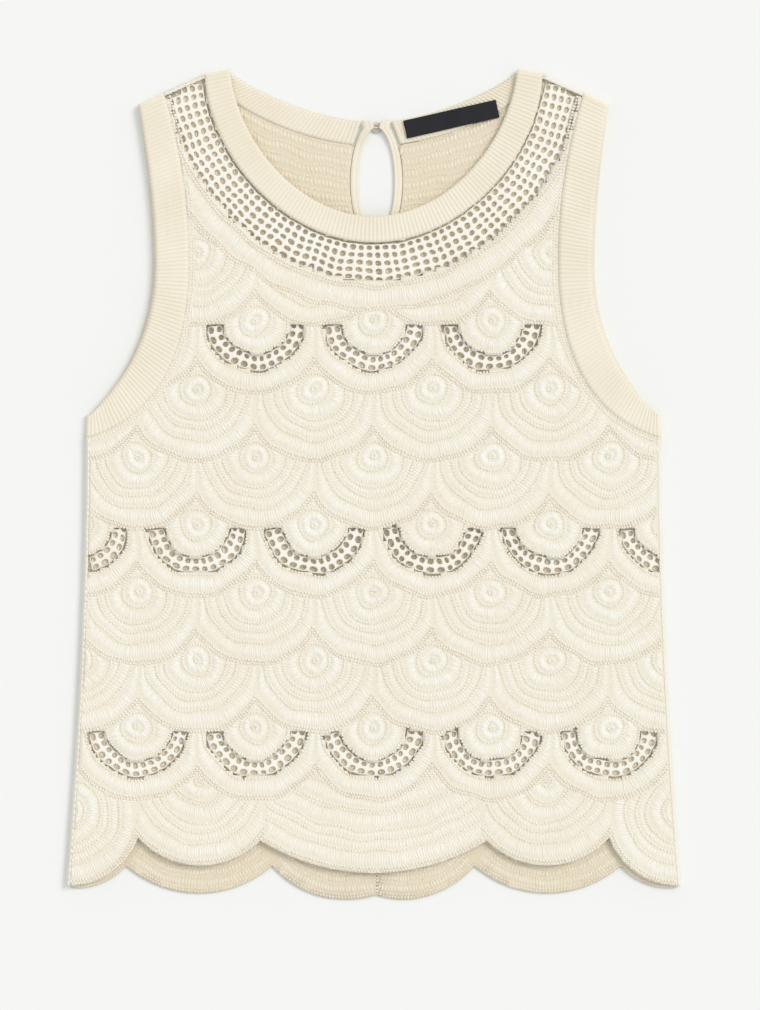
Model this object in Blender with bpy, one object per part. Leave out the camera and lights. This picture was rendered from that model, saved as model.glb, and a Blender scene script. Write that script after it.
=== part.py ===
"""Sleeveless crochet top, laid flat on its back: lace panels, ribbed bands, keyhole back, button and label.

Metres, +Z up. The cloth lies in XY with the neck towards +Y and the hem towards -Y. The origin is under the
middle of the whole top, on the surface that it lies on.
"""

import math

import bmesh
import bpy
import numpy as np
from mathutils import Vector

# Cloth and how its pieces meet
CLOTH = 0.0024
GAP = 0.0003
TURN_CORE = 0.00025  # free radius inside a turned edge
TURN_RADIUS = TURN_CORE + CLOTH / 2
TURN_REACH = TURN_RADIUS + CLOTH / 2
TURN_END = 0.0002  # straight cloth at the end of a turned edge, square to the seam
BACK_MID = CLOTH / 2
FRONT_MID = BACK_MID + 2 * (TURN_RADIUS + TURN_END) + GAP
# How far out and how far over a turned edge has gone at each of its stations
TURN_STATIONS = (
    (TURN_RADIUS * math.sin(math.radians(45)), TURN_RADIUS * (1 - math.cos(math.radians(45)))),
    (TURN_RADIUS, TURN_RADIUS),
    (TURN_RADIUS, TURN_RADIUS + TURN_END),
)
RING_RADIUS = (FRONT_MID - BACK_MID) / 2  # a band that turns over in one piece
LOWEST_FRONT = CLOTH * 1.5 + 2 * GAP

# Outline of the right half, on the edge of the lying garment
SHOULDER_OUT = Vector((0.35, 0.937)).normalized()
SIDE_OUT = Vector((1.0, 0.0))
NECK_POINT = (0.0980, 0.2819)
NECK_SEAM_POINT = (0.1155, 0.2785)
ARMHOLE_SEAM_POINT = (0.1427, 0.2663)
SHOULDER_TIP = (0.1600, 0.2580)
UNDERARM = (0.1948, 0.0473)
UNDERARM_SEAM = (0.1955, 0.0320)
HEM_CORNER_X = 0.2091

# Cubic curves as four control points each
NECK_EDGE = (NECK_POINT, (0.0920, 0.2320), (0.0500, 0.1820), (0.0, 0.1820))
NECK_SEAM = (NECK_SEAM_POINT, (0.1115, 0.2220), (0.0600, 0.1642), (0.0, 0.1642))
BACK_NECK_EDGE = (NECK_POINT, (0.0800, 0.2660), (0.0350, 0.2465), (0.0, 0.2460))
BACK_NECK_SEAM = (NECK_SEAM_POINT, (0.0900, 0.2500), (0.0400, 0.2305), (0.0, 0.2300))
ARM_EDGE_UPPER = (SHOULDER_TIP, (0.1545, 0.2250), (0.1485, 0.1900), (0.1486, 0.1500))
ARM_EDGE_LOWER = ((0.1486, 0.1500), (0.1487, 0.1080), (0.1660, 0.0750), UNDERARM)
ARM_SEAM_UPPER = (ARMHOLE_SEAM_POINT, (0.1330, 0.2320), (0.1257, 0.2000), (0.1257, 0.1520))
ARM_SEAM_LOWER = ((0.1257, 0.1520), (0.1257, 0.1000), (0.1400, 0.0480), UNDERARM_SEAM)
SIDE_EDGE = (UNDERARM_SEAM, (0.1955, -0.0600), (0.2005, -0.1700), (HEM_CORNER_X, -0.2724))
BACK_BAND_PEEK = 0.0018  # the back armhole is cut a little wider

# Hem scallops from the side to the middle: outer end, inner end and how far each hangs below its chord
SCALLOP_COLUMNS = ("outer_x", "outer_y", "inner_x", "inner_y", "sag")
FRONT_SCALLOPS = (
    (HEM_CORNER_X, -0.2724, 0.1598, -0.2397, 0.0088),
    (0.1598, -0.2397, 0.0768, -0.2417, 0.0177),
    (0.0768, -0.2417, -0.0768, -0.2417, 0.0218),
)
BACK_SCALLOPS = (
    (HEM_CORNER_X, -0.2740, 0.1680, -0.2594, 0.0050),
    (0.1680, -0.2594, 0.0687, -0.2594, 0.0184),
    (0.0687, -0.2594, 0.0, -0.2790, 0.0107),
)

# Keyhole in the middle of the back
CENTRE_BACK = 0.0020
KEYHOLE_Y = 0.2057
KEYHOLE_HALF = (0.0122, 0.0367)
TRIM = 0.0055
TRIM_TOP_INNER = ((0.0042, 0.2468), (0.0026, 0.2449))
TRIM_TOP_OUTER = ((0.0100, 0.2474), (0.0092, 0.2440))
TRIM_FROM_INNER = 0.1315  # angles from straight up where the oval parts begin
TRIM_FROM_OUTER = 0.5000

# Closure and label
BUTTON = {"x": CENTRE_BACK, "y": 0.2425, "radius": 0.0038, "thickness": 0.0015}
BUTTON_RIM = 0.0003
LOOP_CORD = 0.0008
LOOP_HALF_WIDTH = 0.0012
LOOP_START = 0.0010  # its ends stop just short of the right trim
CLOSURE_REACH = 0.0200
CLOSURE_LIFT = {-1: 0.0029, 1: 0.0018}  # the left end lies over the button and the loop
LABEL = {"x": 0.0529, "y": 0.2482, "length": 0.0645, "height": 0.0124, "thickness": 0.0005}
LABEL_TURN = math.radians(12.8)

# Largest swells of the front, lying over the back
SWELL_COLUMNS = ("x", "y", "reach_x", "reach_y", "lift")
SWELLS = (
    (0.000, 0.180, 0.075, 0.030, 0.0016),
    (-0.092, 0.100, 0.060, 0.065, 0.0016),
    (0.088, 0.108, 0.058, 0.060, 0.0013),
    (0.015, -0.070, 0.110, 0.080, 0.0016),
    (-0.118, -0.252, 0.042, 0.028, 0.0024),
    (0.121, -0.250, 0.040, 0.030, 0.0021),
    (-0.010, -0.258, 0.062, 0.028, 0.0023),
)
FADE = 0.030  # the swells die out this far from a turned edge

CURVE_STEPS = 14
SCALLOP_STEPS = 12
ACROSS_BAND = 3
PANEL_CELL = 0.020


def cubic(controls, steps=CURVE_STEPS):
    """Points along a cubic curve, both ends included."""
    a, b, c, d = (np.array(p, float) for p in controls)
    t = np.linspace(0.0, 1.0, steps + 1)[:, None]
    return a * (1 - t) ** 3 + 3 * b * t * (1 - t) ** 2 + 3 * c * t**2 * (1 - t) + d * t**3


def joined(*runs):
    """Runs of points end to end, each shared end once."""
    return np.vstack([runs[0]] + [run[1:] for run in runs[1:]])


def beside(points, distance):
    """A run of points moved sideways by distance, to the left of its direction where that is positive."""
    along = np.gradient(points, axis=0)
    along /= np.linalg.norm(along, axis=1)[:, None]
    return points + distance * np.stack([-along[:, 1], along[:, 0]], axis=1)


def scallop(row, steps=SCALLOP_STEPS):
    """A circular arc from a scallop's outer end to its inner end, hanging by its sag."""
    start, end, sag = np.array(row[0:2]), np.array(row[2:4]), row[4]
    chord = end - start
    half = np.linalg.norm(chord) / 2
    radius = (half**2 + sag**2) / (2 * sag)
    along = chord / (2 * half)
    down = np.array([-along[1], along[0]])
    centre = (start + end) / 2 - down * (radius - sag)
    spread = math.asin(half / radius)
    turns = np.linspace(-spread, spread, steps + 1)[:, None]
    return centre + radius * (np.sin(turns) * along + np.cos(turns) * down)


def smooth(share):
    """0 to 1 with a soft start and end."""
    share = min(1.0, max(0.0, share))
    return share * share * (3 - 2 * share)


SIDE_POINTS = cubic(SIDE_EDGE)


def side_x(y):
    """How far out the side edge is at a height on the garment."""
    return float(np.interp(-y, -SIDE_POINTS[:, 1], SIDE_POINTS[:, 0]))


def front_height(x, y):
    """Height of the middle of the front's cloth."""
    lift = 0.0
    for row in SWELLS:
        swell = dict(zip(SWELL_COLUMNS, row))
        across = (x - swell["x"]) / swell["reach_x"]
        along = (y - swell["y"]) / swell["reach_y"]
        lift += swell["lift"] * math.exp(-across * across - along * along)
    to_side = side_x(y) - abs(x)
    to_shoulder = (Vector(SHOULDER_TIP) - Vector((abs(x), y))).dot(SHOULDER_OUT)
    fade = smooth(to_side / FADE) * smooth(to_shoulder / FADE)
    return max(LOWEST_FRONT, FRONT_MID + lift * fade)


def back_height(x, y):
    """Height of the middle of the back's cloth: flat, but raised where the closure lies under it."""
    side = 1 if x > CENTRE_BACK else -1
    away = math.hypot(x - BUTTON["x"], y - BUTTON["y"]) / CLOSURE_REACH
    return BACK_MID + CLOSURE_LIFT[side] * max(0.0, 1 - away * away) ** 2


def flat_back(x, y):
    """Height of the middle of a back panel, which lies flat on the surface."""
    return BACK_MID


def cloth_material(name, colour, roughness):
    """A plain material for one kind of piece."""
    material = bpy.data.materials.new(name)
    material.use_nodes = True
    shader = material.node_tree.nodes["Principled BSDF"]
    shader.inputs["Base Color"].default_value = (*colour, 1.0)
    shader.inputs["Roughness"].default_value = roughness
    shader.inputs["Metallic"].default_value = 0.0
    return material


def piece(name, mesh_builder, material):
    """A named object made from a bmesh, which is freed."""
    mesh = bpy.data.meshes.new(name)
    mesh_builder.to_mesh(mesh)
    mesh_builder.free()
    mesh.materials.append(material)
    obj = bpy.data.objects.new(name, mesh)
    bpy.context.scene.collection.objects.link(obj)
    return obj


def cloth_wall(obj, thickness=CLOTH):
    """Gives a surface its thickness, half to each side."""
    wall = obj.modifiers.new("wall", "SOLIDIFY")
    wall.thickness = thickness
    wall.offset = 0.0
    wall.use_even_offset = True
    wall.use_rim = True
    return obj


def turned_stations(edge_points, outward, height, upward):
    """The stations of an edge that turns towards the other layer, from its end to just short of the flat part.

    upward is 1 on the back, whose edge turns up, and -1 on the front, whose edge turns down.
    """
    rows = []
    for out, over in reversed(TURN_STATIONS):
        shift = outward * out
        z = height + upward * over
        rows.append([(p[0] + shift.x, p[1] + shift.y, z) for p in edge_points])
    return rows


def strip(name, rows, material, height, closed=False):
    """A band of cloth through rows of stations, each a pair of (x, y, z) ends, where z None lies on the cloth."""
    builder = bmesh.new()
    bmesh.ops.create_grid(builder, x_segments=len(rows) - 1, y_segments=ACROSS_BAND, size=1.0)
    for vert in builder.verts:
        row = rows[round((vert.co.x + 1) / 2 * (len(rows) - 1))]
        share = (vert.co.y + 1) / 2
        (ax, ay, az), (bx, by, bz) = row
        x, y = ax + (bx - ax) * share, ay + (by - ay) * share
        z = height(x, y) if az is None else az + (bz - az) * share
        vert.co = (x, y, z)
    if closed:
        bmesh.ops.remove_doubles(builder, verts=builder.verts, dist=1e-5)
    bmesh.ops.recalc_face_normals(builder, faces=builder.faces)
    return cloth_wall(piece(name, builder, material))


def lying(inner, outer):
    """Stations that lie on the cloth, from two runs of points."""
    return [((*a, None), (*b, None)) for a, b in zip(inner, outer)]


def mirrored(points, side):
    """Points of the right half, or their mirror images for the left half."""
    return np.array(points, float) * (side, 1.0)


def on_flat(point, outward, reach=TURN_REACH):
    """A point on the garment's edge moved in to where the cloth starts to turn over."""
    return np.array(point, float) - np.array(outward) * reach


def ends_on_flat(points, outward_first, outward_last=None, reach=TURN_REACH):
    """A run of points whose ends are drawn in from the garment's edge, and the rest in proportion."""
    moved = points.copy()
    share = np.linspace(1.0, 0.0, len(points))[:, None] ** 3
    moved -= share * np.array(outward_first) * reach
    if outward_last is not None:
        moved -= share[::-1] * np.array(outward_last) * reach
    return moved


def neck_runs(edge, seam, reach=TURN_REACH):
    """The free edge and the seam of a neckband's right half, from shoulder to middle."""
    return (
        ends_on_flat(cubic(edge), SHOULDER_OUT, reach=reach),
        ends_on_flat(cubic(seam), SHOULDER_OUT, reach=reach),
    )


def arm_runs(peek=0.0, reach=TURN_REACH):
    """The free edge and the seam of a right armhole band, from shoulder to underarm."""
    edge = joined(cubic(ARM_EDGE_UPPER), cubic(ARM_EDGE_LOWER))
    seam = joined(cubic(ARM_SEAM_UPPER), cubic(ARM_SEAM_LOWER))
    swing = np.sin(np.linspace(0.0, math.pi, len(edge)))[:, None]
    edge = edge + swing * peek * np.array([1.0, 0.0])
    return (
        ends_on_flat(edge, SHOULDER_OUT, SIDE_OUT, reach),
        ends_on_flat(seam, SHOULDER_OUT, SIDE_OUT, reach),
    )


def front_neckband(material):
    """The rib round the front of the neck, from shoulder to shoulder."""
    edge, seam = neck_runs(NECK_EDGE, NECK_SEAM)
    halves = {}
    for side in (1, -1):
        a, b = mirrored(edge, side), mirrored(seam, side)
        out = Vector((SHOULDER_OUT.x * side, SHOULDER_OUT.y))
        turned = turned_stations((a[0], b[0]), out, FRONT_MID, -1)
        halves[side] = turned + lying(a, b)
    rows = halves[1] + halves[-1][-2::-1]
    return strip("front_neckband", rows, material, front_height)


def keyhole_rail(side, top, angle_from, grow, steps=CURVE_STEPS):
    """One edge of a keyhole trim, from the top of the neckband to under the keyhole."""
    angles = np.linspace(angle_from, math.pi, steps + 1)
    half_x, half_y = KEYHOLE_HALF[0] + grow, KEYHOLE_HALF[1] + grow
    oval = np.stack([half_x * np.sin(angles), KEYHOLE_Y + half_y * np.cos(angles)], axis=1)
    rail = np.vstack([np.array(top), oval])
    rail[:, 0] = CENTRE_BACK + side * np.maximum(rail[:, 0], GAP / 2)
    return rail


def rail_below(rail, y):
    """A keyhole rail from a height on the garment down."""
    x = np.interp(-y, -rail[:, 1], rail[:, 0])
    return np.vstack([(x, y), rail[rail[:, 1] < y - GAP]])


def keyhole_trim(side, material):
    """The narrow knitted edging of one side of the keyhole."""
    inner = keyhole_rail(side, TRIM_TOP_INNER, TRIM_FROM_INNER, 0.0)
    outer = keyhole_rail(side, TRIM_TOP_OUTER, TRIM_FROM_OUTER, TRIM)
    name = "keyhole_trim_right" if side > 0 else "keyhole_trim_left"
    return strip(name, lying(inner, outer), material, back_height)


def back_neckband(side, material):
    """The rib of one half of the back neck, from the keyhole trim to the shoulder."""
    edge, seam = (mirrored(run, side) for run in neck_runs(BACK_NECK_EDGE, BACK_NECK_SEAM))
    rail = keyhole_rail(side, TRIM_TOP_OUTER, TRIM_FROM_OUTER, TRIM + GAP)
    end_top = (CENTRE_BACK + side * (TRIM_TOP_OUTER[0][0] + GAP), BACK_NECK_EDGE[3][1])
    end_low = rail_below(rail, BACK_NECK_SEAM[3][1])[0]
    edge = cut_short(edge, end_top)
    seam = cut_short(seam, end_low)
    out = Vector((SHOULDER_OUT.x * side, SHOULDER_OUT.y))
    turned = turned_stations((edge[0], seam[0]), out, BACK_MID, 1)
    name = "back_neckband_right" if side > 0 else "back_neckband_left"
    return strip(name, turned + lying(edge, seam), material, back_height)


def cut_short(run, end):
    """A run from the shoulder that stops at a point near the middle, with its stations spread again."""
    kept = run[np.abs(run[:, 0] - CENTRE_BACK) > abs(end[0] - CENTRE_BACK) + 0.002]
    kept = np.vstack([kept, [end[0], np.interp(abs(end[0]), np.abs(run[::-1, 0]), run[::-1, 1])]])
    along = np.concatenate([[0.0], np.cumsum(np.linalg.norm(np.diff(kept, axis=0), axis=1))])
    at = np.linspace(0.0, along[-1], CURVE_STEPS + 1)
    return np.stack([np.interp(at, along, kept[:, k]) for k in range(2)], axis=1)


def armhole_band(side, material):
    """The rib round one armhole: front and back strips in one piece, turned over at shoulder and underarm."""
    reach = RING_RADIUS + CLOTH / 2
    front_edge, front_seam = (mirrored(run, side) for run in arm_runs(reach=reach))
    back_edge, back_seam = (mirrored(run, side) for run in arm_runs(BACK_BAND_PEEK, reach))
    turns = {}
    outs = {0: Vector((SHOULDER_OUT.x * side, SHOULDER_OUT.y)), -1: Vector((side, 0.0))}
    for end, out in outs.items():
        rows = []
        for angle in (math.radians(a) for a in (45, 90, 135)):
            z = (FRONT_MID + BACK_MID) / 2 + RING_RADIUS * math.cos(angle)
            shift = out * (RING_RADIUS * math.sin(angle))
            pair = (front_edge[end], front_seam[end])
            rows.append([(p[0] + shift.x, p[1] + shift.y, z) for p in pair])
        turns[end] = rows
    front_rows = lying(front_edge, front_seam)
    back_rows = [
        [(*a, BACK_MID), (*b, BACK_MID)] for a, b in zip(back_edge[::-1], back_seam[::-1])
    ]
    rows = front_rows + turns[-1] + back_rows + turns[0][::-1] + front_rows[:1]
    name = "armhole_band_right" if side > 0 else "armhole_band_left"
    return strip(name, rows, material, front_height, closed=True)


def gridded_face(outline, cell):
    """A bmesh with the outline as one face, cut into cells where cell is a size."""
    builder = bmesh.new()
    builder.faces.new([builder.verts.new((x, y, 0.0)) for x, y in outline])
    if cell:
        low, high = outline.min(axis=0), outline.max(axis=0)
        for axis in (0, 1):
            normal = Vector((1 - axis, axis, 0))
            for place in np.arange(low[axis] + cell, high[axis], cell):
                everything = builder.verts[:] + builder.edges[:] + builder.faces[:]
                bmesh.ops.bisect_plane(
                    builder, geom=everything, dist=1e-6, plane_co=normal * place, plane_no=normal
                )
    return builder


def turn_edge(builder, on_edge, outward, upward):
    """Turns the boundary edges that on_edge picks towards the other layer."""
    edges = [e for e in builder.edges if e.is_boundary and all(on_edge(v.co) for v in e.verts)]
    done = (0.0, 0.0)
    for out, over in TURN_STATIONS:
        grown = bmesh.ops.extrude_edge_only(builder, edges=edges)["geom"]
        edges = [g for g in grown if isinstance(g, bmesh.types.BMEdge)]
        verts = [g for g in grown if isinstance(g, bmesh.types.BMVert)]
        move = Vector((*(outward * (out - done[0])), upward * (over - done[1])))
        bmesh.ops.translate(builder, verts=verts, vec=move)
        done = (out, over)


def panel(name, outline, seams, material, height, upward, cell=None):
    """A lace panel: its outline as cloth, with the edges in seams turned over to meet the other layer."""
    builder = gridded_face(outline, cell)
    turned = []
    for run, outward in seams:
        turned.append((np.array(run), outward))
    for vert in builder.verts:
        vert.co.z = height(vert.co.x, vert.co.y)
    for run, outward in turned:
        turn_edge(builder, lambda co, run=run: near_run(co, run), outward, upward)
    bmesh.ops.recalc_face_normals(builder, faces=builder.faces)
    return cloth_wall(piece(name, builder, material))


def near_run(co, run, within=2e-5):
    """Whether a point lies on a run of points, seen from above."""
    point = np.array(co[:2])
    a, b = run[:-1], run[1:]
    along = b - a
    share = np.clip(((point - a) * along).sum(axis=1) / (along * along).sum(axis=1), 0, 1)
    return np.linalg.norm(a + share[:, None] * along - point, axis=1).min() < within


def seam_sides(neck_seam, arm_seam):
    """The panel's own edges beside a neckband and an armhole band, right half."""
    return beside(neck_seam, GAP), beside(arm_seam, -GAP)


def half_outline(neck_controls, scallops, neck_end=None, keyhole=None):
    """The right half of a panel from the middle of the neck round to the middle of the hem.

    Returns the points, and the runs that turn over at the shoulder and the side.
    """
    neck_seam = neck_runs(NECK_EDGE, neck_controls)[1]
    neck, arm = seam_sides(neck_seam, arm_runs()[1])
    neck = neck[::-1]
    if keyhole is not None:
        neck = neck[neck[:, 0] > neck_end[0] + 0.002]
        neck = joined(keyhole, np.vstack([neck_end, neck]))
    side = cubic(SIDE_EDGE) - np.array(SIDE_OUT) * TURN_REACH
    arm[-1] = side[0]
    arm[-1, 1] -= GAP
    side[0, 1] -= GAP
    side_run = side
    first = np.array(scallops[0])
    first[0] -= TURN_REACH
    side_run[-1] = first[0:2]
    hem = joined(*[scallop(row) for row in (tuple(first), *scallops[1:])])
    shoulder_run = np.vstack([neck[-1], arm[0]])
    outline = joined(neck, shoulder_run, arm, side_run, hem)
    return outline, shoulder_run, side_run


def front_panel(material):
    """The front's lace in one piece, with its neck, armholes and five-lobed hem."""
    right, shoulder, side = half_outline(NECK_SEAM, FRONT_SCALLOPS)
    right = right[right[:, 0] >= -1e-9]
    left = mirrored(right[::-1], -1)
    outline = np.vstack([right, left[1:-1]])
    seams = []
    for hand in (1, -1):
        seams.append((mirrored(shoulder, hand), Vector((SHOULDER_OUT.x * hand, SHOULDER_OUT.y))))
        seams.append((mirrored(side, hand), SIDE_OUT * hand))
    return panel("front_panel", outline, seams, material, front_height, -1, PANEL_CELL)


def back_panel(hand, material):
    """One half of the back's lace, seamed to the other from under the keyhole to the hem."""
    rail = keyhole_rail(1, TRIM_TOP_OUTER, TRIM_FROM_OUTER, TRIM + GAP)
    rail[:, 0] -= CENTRE_BACK
    seam_y = BACK_NECK_SEAM[3][1] - GAP
    rail = rail_below(rail, seam_y)
    neck_end = (rail[0, 0] + 0.001, seam_y)
    outline, shoulder, side = half_outline(BACK_NECK_SEAM, BACK_SCALLOPS, neck_end, rail[::-1])
    outline[-1, 0] = GAP / 2
    centred = outline[:, 0] < 0.03
    outline = mirrored(outline, hand)
    outline[centred, 0] += CENTRE_BACK
    seams = [
        (mirrored(shoulder, hand), Vector((SHOULDER_OUT.x * hand, SHOULDER_OUT.y))),
        (mirrored(side, hand), SIDE_OUT * hand),
    ]
    name = "back_panel_right" if hand > 0 else "back_panel_left"
    return panel(name, outline, seams, material, flat_back, 1)


def button(material):
    """The small shell button under the neckband's left end."""
    builder = bmesh.new()
    bmesh.ops.create_cone(
        builder,
        cap_ends=True,
        segments=24,
        radius1=BUTTON["radius"],
        radius2=BUTTON["radius"],
        depth=BUTTON["thickness"],
    )
    rims = [e for e in builder.edges if abs(e.verts[0].co.z - e.verts[1].co.z) < 1e-6]
    bmesh.ops.bevel(
        builder, geom=rims, offset=BUTTON_RIM, segments=1, affect="EDGES", profile=0.5, material=-1
    )
    obj = piece("button", builder, material)
    obj.location = (BUTTON["x"], BUTTON["y"], BUTTON["thickness"] / 2)
    return obj


def button_loop(material):
    """The thread loop from the neckband's right end, round the button's stitches under the left end."""
    curve = bpy.data.curves.new("button_loop", "CURVE")
    curve.dimensions = "3D"
    curve.bevel_depth = LOOP_CORD / 2
    curve.bevel_resolution = 2
    curve.use_fill_caps = True
    z = BUTTON["thickness"] + GAP + LOOP_CORD / 2
    start = LOOP_START
    far = -0.0022
    straight = [(start, LOOP_HALF_WIDTH), (start / 2, LOOP_HALF_WIDTH), (far / 2, LOOP_HALF_WIDTH)]
    turn = [
        (far - LOOP_HALF_WIDTH * math.sin(angle), LOOP_HALF_WIDTH * math.cos(angle))
        for angle in np.linspace(0.0, math.pi, 7)
    ]
    route = straight + turn + [(x, -y) for x, y in reversed(straight)]
    spline = curve.splines.new("POLY")
    spline.points.add(len(route) - 1)
    for point, (x, y) in zip(spline.points, route):
        point.co = (BUTTON["x"] + x, BUTTON["y"] + LOOP_HALF_WIDTH + y, z, 1.0)
    curve.materials.append(material)
    obj = bpy.data.objects.new("button_loop", curve)
    bpy.context.scene.collection.objects.link(obj)
    return obj


def label(material):
    """The woven neck label, bare, sewn to the inside of the neckband."""
    builder = bmesh.new()
    bmesh.ops.create_cube(builder, size=1.0)
    size = Vector((LABEL["length"], LABEL["height"], LABEL["thickness"]))
    bmesh.ops.scale(builder, verts=builder.verts, vec=size)
    obj = piece("label", builder, material)
    obj.location = (LABEL["x"], LABEL["y"], CLOTH + GAP + LABEL["thickness"] / 2)
    obj.rotation_euler = (0.0, 0.0, LABEL_TURN)
    return obj


def build():
    """Makes every piece of the top."""
    for obj in list(bpy.data.objects):
        bpy.data.objects.remove(obj)
    lace = cloth_material("crochet_lace", (0.86, 0.80, 0.68), 0.95)
    rib = cloth_material("rib_knit", (0.84, 0.76, 0.62), 0.95)
    shell = cloth_material("shell_button", (0.70, 0.69, 0.64), 0.35)
    woven = cloth_material("woven_label", (0.028, 0.028, 0.040), 0.75)
    front_panel(lace)
    front_neckband(rib)
    for side in (-1, 1):
        back_panel(side, lace)
        back_neckband(side, rib)
        keyhole_trim(side, rib)
        armhole_band(side, rib)
    button(shell)
    button_loop(rib)
    label(woven)


build()
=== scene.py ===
"""Looks of a sleeveless crochet top laid flat: lace, rib bands, label, closure, studio and camera."""

import logging  # noqa: E402
import math  # noqa: E402
from collections.abc import Callable  # noqa: E402
from dataclasses import dataclass, field  # noqa: E402
from enum import Enum  # noqa: E402

import bmesh  # noqa: E402
import bpy  # noqa: E402
import numpy as np  # noqa: E402
from mathutils import Matrix, Vector  # noqa: E402

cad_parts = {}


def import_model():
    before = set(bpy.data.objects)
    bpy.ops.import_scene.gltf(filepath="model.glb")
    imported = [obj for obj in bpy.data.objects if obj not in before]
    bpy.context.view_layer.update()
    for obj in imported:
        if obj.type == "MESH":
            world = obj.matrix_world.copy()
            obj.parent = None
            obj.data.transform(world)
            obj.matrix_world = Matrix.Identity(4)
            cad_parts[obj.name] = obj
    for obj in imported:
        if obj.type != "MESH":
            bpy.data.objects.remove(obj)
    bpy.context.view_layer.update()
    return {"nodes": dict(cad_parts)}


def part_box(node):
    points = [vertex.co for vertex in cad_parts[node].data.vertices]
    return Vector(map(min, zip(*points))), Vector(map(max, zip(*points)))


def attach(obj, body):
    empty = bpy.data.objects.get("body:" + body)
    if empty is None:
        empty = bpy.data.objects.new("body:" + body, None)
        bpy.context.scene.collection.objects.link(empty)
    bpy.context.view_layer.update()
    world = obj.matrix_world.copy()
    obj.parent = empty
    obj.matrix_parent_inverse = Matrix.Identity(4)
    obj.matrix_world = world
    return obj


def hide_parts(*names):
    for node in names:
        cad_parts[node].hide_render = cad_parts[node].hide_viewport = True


LOG = logging.getLogger("crochet_top")
MM = 0.001
Points = np.ndarray
Test = Callable[[Points], Points]
Shift = Callable[[Points], Points]
Height = Callable[[Points, Points], Points]


class Side(Enum):
    """Which half of the top, as seen from above with the neck away from the viewer."""

    LEFT = -1
    RIGHT = 1


class FanCore(Enum):
    """What fills the rings of a lace fan."""

    OPEN = "open"
    DENSE = "dense"


# ---------------------------------------------------------------- colour, nodes and finishes


def linear(code: str) -> tuple[float, float, float, float]:
    """A hex sRGB colour as linear RGBA.

    Args:
        code: six hex digits after a #.

    Returns:
        The linear colour with alpha 1.
    """
    values = [int(code[i : i + 2], 16) / 255 for i in (1, 3, 5)]
    parts = [v / 12.92 if v <= 0.04045 else ((v + 0.055) / 1.055) ** 2.4 for v in values]
    return (*parts, 1.0)


def add_node(
    tree: bpy.types.NodeTree, kind: str, settings: dict | None = None, links: dict | None = None
) -> bpy.types.Node:
    """Adds a node with its settings and its inputs.

    Args:
        tree: the node tree.
        kind: the node's type name.
        settings: attributes of the node.
        links: input name or index to a value or to an output socket.

    Returns:
        The new node.
    """
    node = tree.nodes.new(kind)
    for name, value in (settings or {}).items():
        setattr(node, name, value)
    for name, value in (links or {}).items():
        if isinstance(value, bpy.types.NodeSocket):
            tree.links.new(value, node.inputs[name])
        else:
            node.inputs[name].default_value = value
    return node


@dataclass(frozen=True)
class YarnFinish:
    """Soft spun cotton yarn, worked by hand: matt and slightly fuzzy, with painted shade, a warmer, darker
    crease colour, down between its stitches.
    """

    name: str
    light: str
    shade: str
    crease: str
    crease_share: float = 0.85
    roughness: float = 0.92
    sheen: float = 0.12
    patch_mm: float = 38.0
    ply_mm: float = 0.9
    fibre_mm: float = 0.32
    bump: float = 0.35

    def material(self) -> bpy.types.Material:
        """Builds the node material, whose painted shade, the crease colour, follows the mesh's own rise
        attribute.
        """
        material = bpy.data.materials.new(self.name)
        material.use_nodes = True
        tree = material.node_tree
        shader = tree.nodes["Principled BSDF"]
        shader.inputs["Roughness"].default_value = self.roughness
        shader.inputs["Sheen Weight"].default_value = self.sheen
        shader.inputs["Sheen Roughness"].default_value = 0.5
        shader.inputs["Specular IOR Level"].default_value = 0.25
        place = add_node(tree, "ShaderNodeTexCoord").outputs["Object"]
        patches = add_node(
            tree,
            "ShaderNodeTexNoise",
            links={"Vector": place, "Scale": 1 / (self.patch_mm * MM), "Detail": 3.0},
        )
        plies = add_node(
            tree,
            "ShaderNodeTexNoise",
            links={"Vector": place, "Scale": 1 / (self.ply_mm * MM), "Detail": 1.0},
        )
        fibres = add_node(
            tree,
            "ShaderNodeTexNoise",
            links={"Vector": place, "Scale": 1 / (self.fibre_mm * MM), "Detail": 2.0},
        )
        tone = add_node(
            tree,
            "ShaderNodeMapRange",
            links={"Value": patches.outputs["Fac"], "From Min": 0.35, "From Max": 0.65},
        )
        cotton = add_node(
            tree,
            "ShaderNodeMix",
            {"data_type": "RGBA"},
            {"Factor": tone.outputs["Result"], 6: linear(self.light), 7: linear(self.shade)},
        )
        # Painted shade: where the rise attribute is low, the colour goes towards the darker crease colour,
        # standing in for the shade between stitches.
        rise = add_node(tree, "ShaderNodeAttribute", {"attribute_name": "rise"})
        depth = add_node(
            tree,
            "ShaderNodeMapRange",
            {"interpolation_type": "SMOOTHSTEP"},
            {
                "Value": rise.outputs["Fac"],
                "From Min": 0.0,
                "From Max": 0.75,
                "To Min": self.crease_share,
                "To Max": 0.0,
            },
        )
        painted_crease_shade = add_node(
            tree,
            "ShaderNodeMix",
            {"data_type": "RGBA"},
            {"Factor": depth.outputs["Result"], 6: cotton.outputs[2], 7: linear(self.crease)},
        )
        tree.links.new(painted_crease_shade.outputs[2], shader.inputs["Base Color"])
        height = add_node(
            tree,
            "ShaderNodeMath",
            {"operation": "ADD"},
            {0: plies.outputs["Fac"], 1: fibres.outputs["Fac"]},
        )
        bump = add_node(
            tree,
            "ShaderNodeBump",
            links={"Height": height.outputs[0], "Strength": self.bump, "Distance": 0.3 * MM},
        )
        tree.links.new(bump.outputs["Normal"], shader.inputs["Normal"])
        return material


# Each yarn's crease colour is painted shade for the hollows between and under its stitches.
FRONT_YARN = YarnFinish("undyed cotton crochet", "#fffdf7", "#fcf8ee", "#f0e7d3", crease_share=0.8)
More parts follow.
